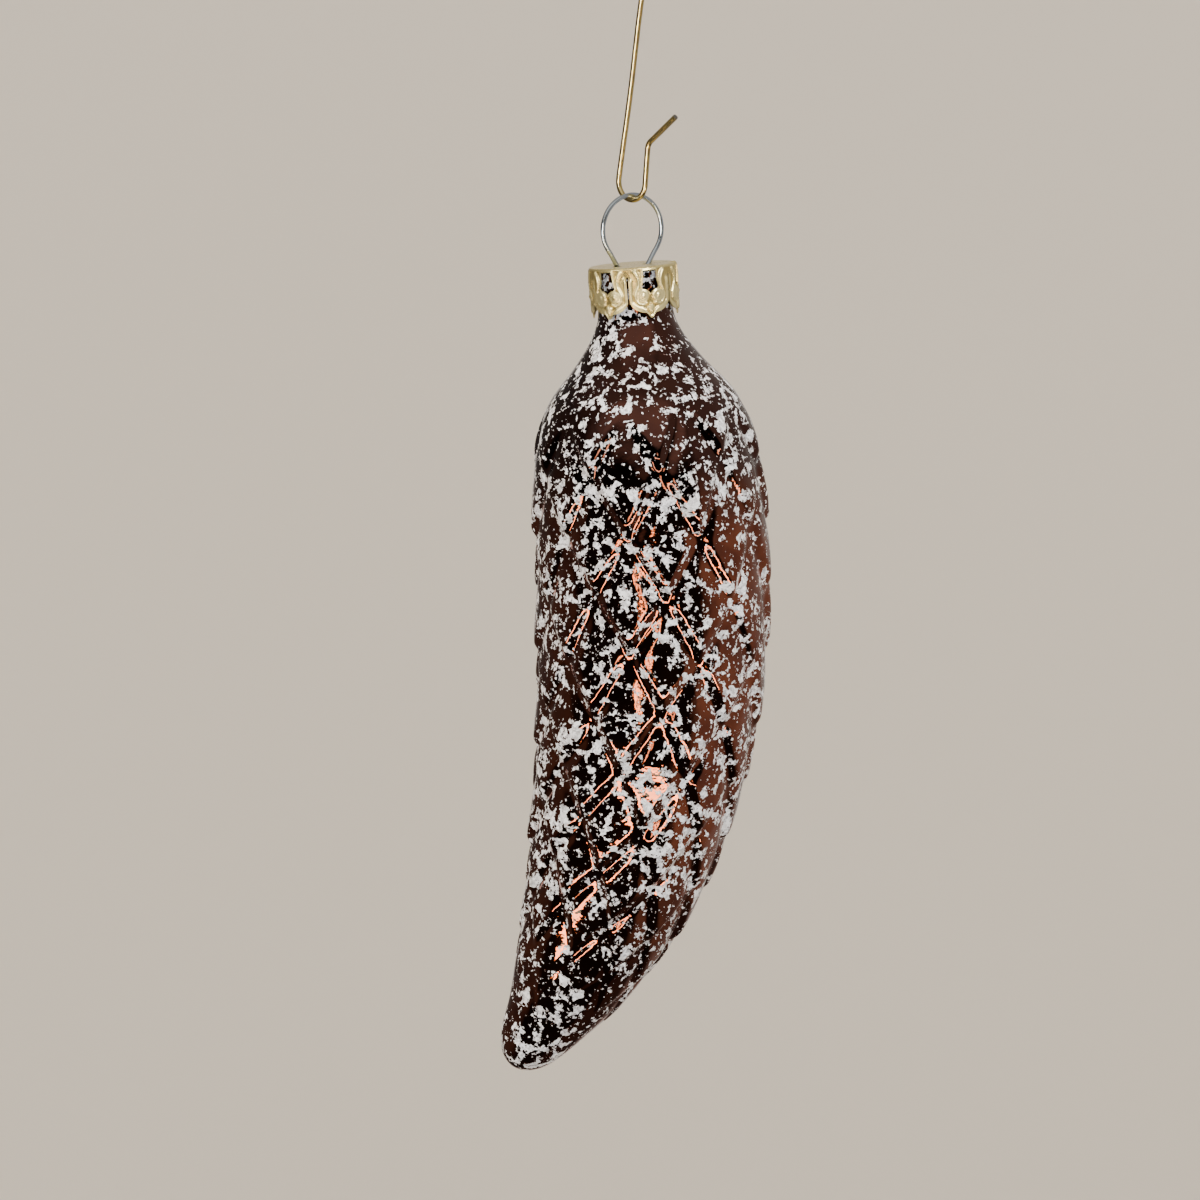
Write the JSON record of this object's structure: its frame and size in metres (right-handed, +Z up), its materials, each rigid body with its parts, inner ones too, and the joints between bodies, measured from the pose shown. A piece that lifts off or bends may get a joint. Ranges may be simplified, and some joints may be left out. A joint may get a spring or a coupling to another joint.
{
  "type": "glass spruce cone ornament",
  "caption": "Curved blown-glass spruce cone Christmas ornament with a crown cap, wire loop and wire hook.",
  "frame": {"origin": "the place on the inside of the hook's large bow that rests on the branch", "axes": "+Z up as it hangs, +X towards the bulging side of the curved cone, -Y the front"},
  "size_m": [0.034, 0.0294, 0.1568],
  "materials": {
    "lacquered_glass": "silvered glass under glossy brown lacquer, half covered by white frost and fine glitter",
    "stamped_gold": "pale gold stamped sheet, satin",
    "steel_wire": "bright drawn steel wire",
    "gold_wire": "bright gold-coloured wire"
  },
  "bodies": {
    "root": {"glass_body": "lacquered_glass", "cap": "stamped_gold", "hanger_loop": "steel_wire", "hook": "gold_wire"}
  },
  "joints": []
}
